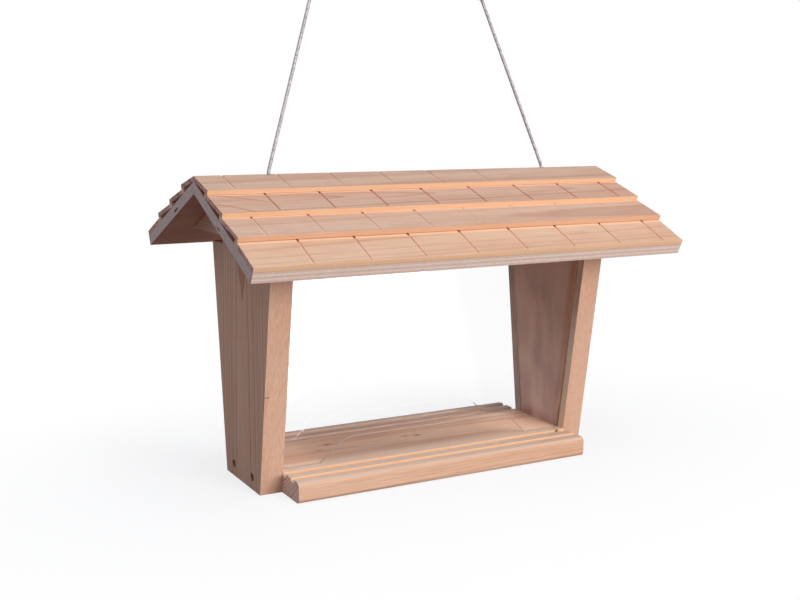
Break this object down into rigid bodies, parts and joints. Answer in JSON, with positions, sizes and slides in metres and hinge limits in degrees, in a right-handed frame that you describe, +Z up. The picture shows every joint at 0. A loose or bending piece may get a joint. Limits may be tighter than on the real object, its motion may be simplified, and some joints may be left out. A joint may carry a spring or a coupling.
{
  "type": "silo bird feeder",
  "caption": "Hanging wooden silo feeder: tapered end walls, clear sloping panes over a moulded floor, and a lift-up gable roof of lapped tile boards on cords.",
  "frame": {"origin": "centre of the underside, on the surface that the feeder stands on", "axes": "+X along the ridge, -Y the front, +Z up"},
  "size_m": [0.411, 0.2558, 0.4712],
  "materials": {
    "wall_pine": "planed pine, oiled",
    "floor_pine": "moulded and sanded pine",
    "bearer_pine": "sawn pine",
    "plywood": "plywood, bare edges",
    "tile_pine": "planed pine boards",
    "clear_acrylic": "clear cast sheet, polished",
    "zinc_steel": "zinc plated",
    "steel_cord": "thin stranded steel cord",
    "sleeve_metal": "pressed sleeve"
  },
  "bodies": {
    "base": {"left_wall": "wall_pine", "right_wall": "wall_pine", "floor_board": "floor_pine", "left_floor_screws": "zinc_steel", "right_floor_screws": "zinc_steel", "left_screw_eye": "zinc_steel", "right_screw_eye": "zinc_steel", "left_eye_loop": "steel_cord", "right_eye_loop": "steel_cord", "left_eye_ferrule": "sleeve_metal", "right_eye_ferrule": "sleeve_metal", "left_cord_riser": "steel_cord", "right_cord_riser": "steel_cord", "left_cord_strand": "steel_cord", "right_cord_strand": "steel_cord", "left_hang_ferrule": "sleeve_metal", "right_hang_ferrule": "sleeve_metal", "left_hang_loop": "steel_cord", "right_hang_loop": "steel_cord"},
    "roof": {"left_roof_bearer": "bearer_pine", "right_roof_bearer": "bearer_pine", "left_roof_gusset": "bearer_pine", "right_roof_gusset": "bearer_pine", "front_roof_panel": "plywood", "rear_roof_panel": "plywood", "left_roof_nails": "zinc_steel", "right_roof_nails": "zinc_steel", "front_course_1": "tile_pine", "front_course_2": "tile_pine", "front_course_3": "tile_pine", "front_course_4": "tile_pine", "rear_course_1": "tile_pine", "rear_course_2": "tile_pine", "rear_course_3": "tile_pine", "rear_course_4": "tile_pine"},
    "front_glazing": {"front_pane": "clear_acrylic"},
    "rear_glazing": {"rear_pane": "clear_acrylic"}
  },
  "joints": [
    {"name": "roof_lift", "type": "slide", "parent": "base", "child": "roof", "axis": [0, 0, 1], "range_m": [0, 0.1], "deforming": ["left_cord_riser", "right_cord_riser", "left_cord_strand", "right_cord_strand"]},
    {"name": "front_pane_slide", "type": "slide", "parent": "base", "child": "front_glazing", "axis": [0, -0.136, 0.9907], "range_m": [0, 0.018]},
    {"name": "rear_pane_slide", "type": "slide", "parent": "base", "child": "rear_glazing", "axis": [0, 0.136, 0.9907], "range_m": [0, 0.018]}
  ]
}
